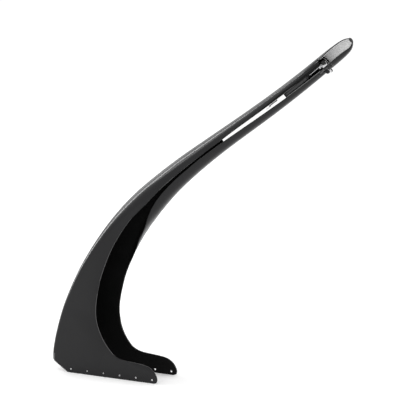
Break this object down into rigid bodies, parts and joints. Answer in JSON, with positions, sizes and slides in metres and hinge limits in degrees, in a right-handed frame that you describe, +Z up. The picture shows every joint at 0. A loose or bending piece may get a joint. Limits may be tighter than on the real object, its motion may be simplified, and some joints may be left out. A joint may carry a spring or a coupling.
{
  "type": "swan-neck composite arm with hinged tip",
  "caption": "Curved hollow black composite arm: a channel foot drilled for bolts, a neck that closes to a slit tube, and a hinged open tip worked by a small strut.",
  "frame": {"origin": "on the foot's centre plane, level with the foot's bottom edges, at the front of its slanted back corner", "axes": "+Z up from the foot's bottom edges, +X from the foot towards the tip, +Y across the arm away from the side with the slit"},
  "size_m": [0.8884, 0.11, 1.0044],
  "materials": {
    "composite": "satin to gloss moulded fibre composite",
    "white_label": "smooth white film",
    "bright_aluminium": "bright satin",
    "strut_black": "black, satin",
    "dark_metal": "black oxide, satin",
    "bright_steel": "polished",
    "bush_plastic": "plain",
    "black_rubber": "matte",
    "cap_plastic": "satin black"
  },
  "bodies": {
    "arm": {"arm_shell": "composite", "label_strip": "white_label", "lip_trim": "bright_aluminium", "strut_body": "strut_black", "strut_gland": "dark_metal", "strut_saddle": "dark_metal", "arm_hinge_block": "dark_metal", "arm_screw_near": "dark_metal", "arm_screw_far": "dark_metal", "hinge_bolt": "dark_metal", "hinge_nut": "dark_metal", "hinge_washer_near": "bright_steel", "hinge_washer_far": "bright_steel", "arm_buffer": "black_rubber"},
    "rod": {"strut_rod": "bright_steel", "rod_end": "bright_steel"},
    "tip": {"tip_shell": "composite", "tip_liner": "bright_aluminium", "tip_hinge_block": "bright_aluminium", "tip_screw_near": "dark_metal", "tip_screw_far": "dark_metal", "crank_pin": "bright_steel", "hinge_bush": "bush_plastic", "tip_buffer": "black_rubber", "tip_end_cap": "cap_plastic"}
  },
  "joints": [
    {"name": "tip_fold", "type": "hinge", "parent": "arm", "child": "tip", "pos_m": [0.77021, 0, 0.90623], "axis": [0, 1, 0], "range_deg": [0, 34]},
    {"name": "rod_slide", "type": "slide", "parent": "arm", "child": "rod", "axis": [0.7569, 0, 0.6535], "range_m": [0, 0.0155]}
  ],
  "couplings": [
    {"joint": "rod_slide", "follows": "tip_fold", "m_per_rad": 0.02596}
  ]
}
